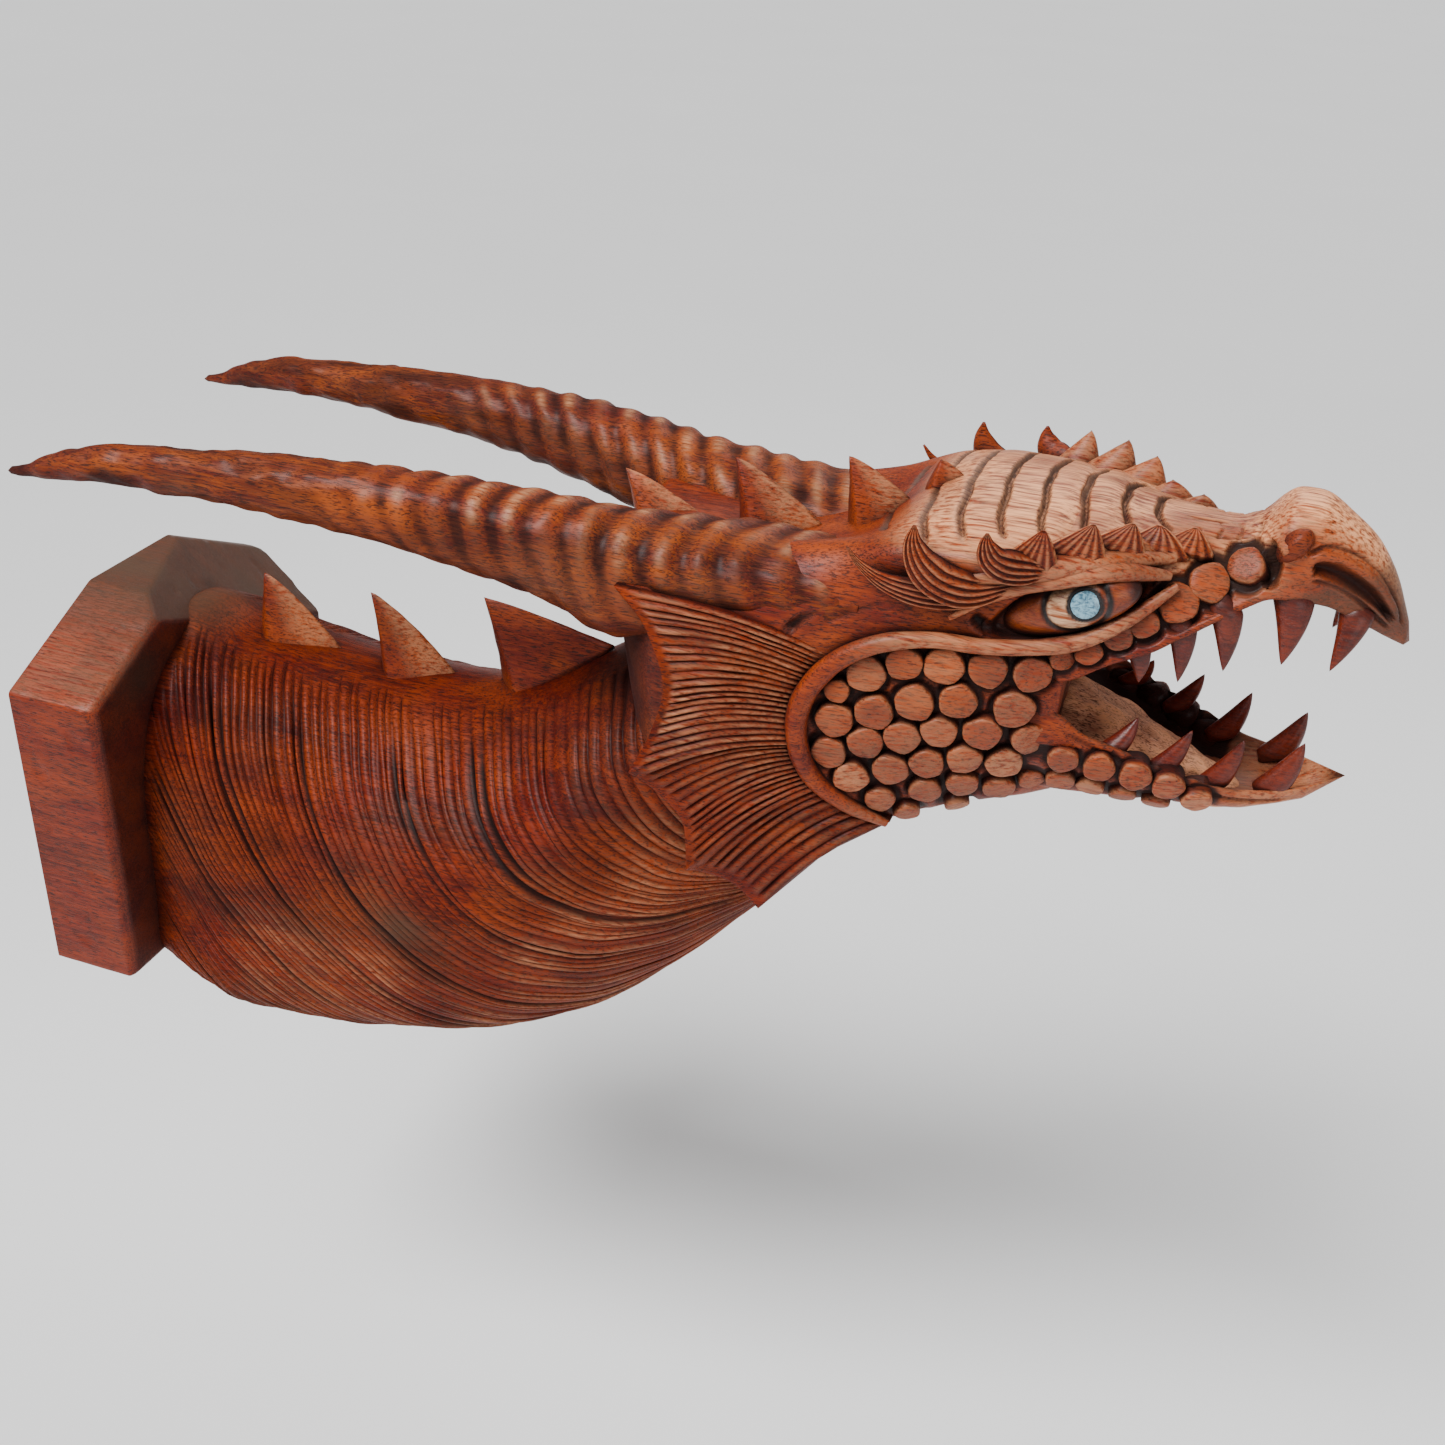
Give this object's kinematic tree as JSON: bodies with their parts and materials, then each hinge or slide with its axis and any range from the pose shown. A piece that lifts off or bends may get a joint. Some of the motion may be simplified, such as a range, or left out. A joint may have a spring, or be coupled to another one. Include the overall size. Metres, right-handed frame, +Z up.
{
  "type": "dragon head wall carving",
  "caption": "Carved hardwood dragon head on a back plate, with swept-back horns, an open toothed mouth and inlaid eyes, for hanging on a wall.",
  "frame": {"origin": "middle of the back face of the plate, on the wall", "axes": "+X out of the wall towards the beak, +Z up, the carving is the same on both sides of y = 0"},
  "size_m": [0.5005, 0.161, 0.2927],
  "materials": {
    "carved_wood": "varnished, carved",
    "eye_inlay": "blue-grey inlay, polished"
  },
  "bodies": {
    "root": {"dragon_carving": "carved_wood", "eye_inlay_left": "eye_inlay", "eye_inlay_right": "eye_inlay"}
  },
  "joints": []
}
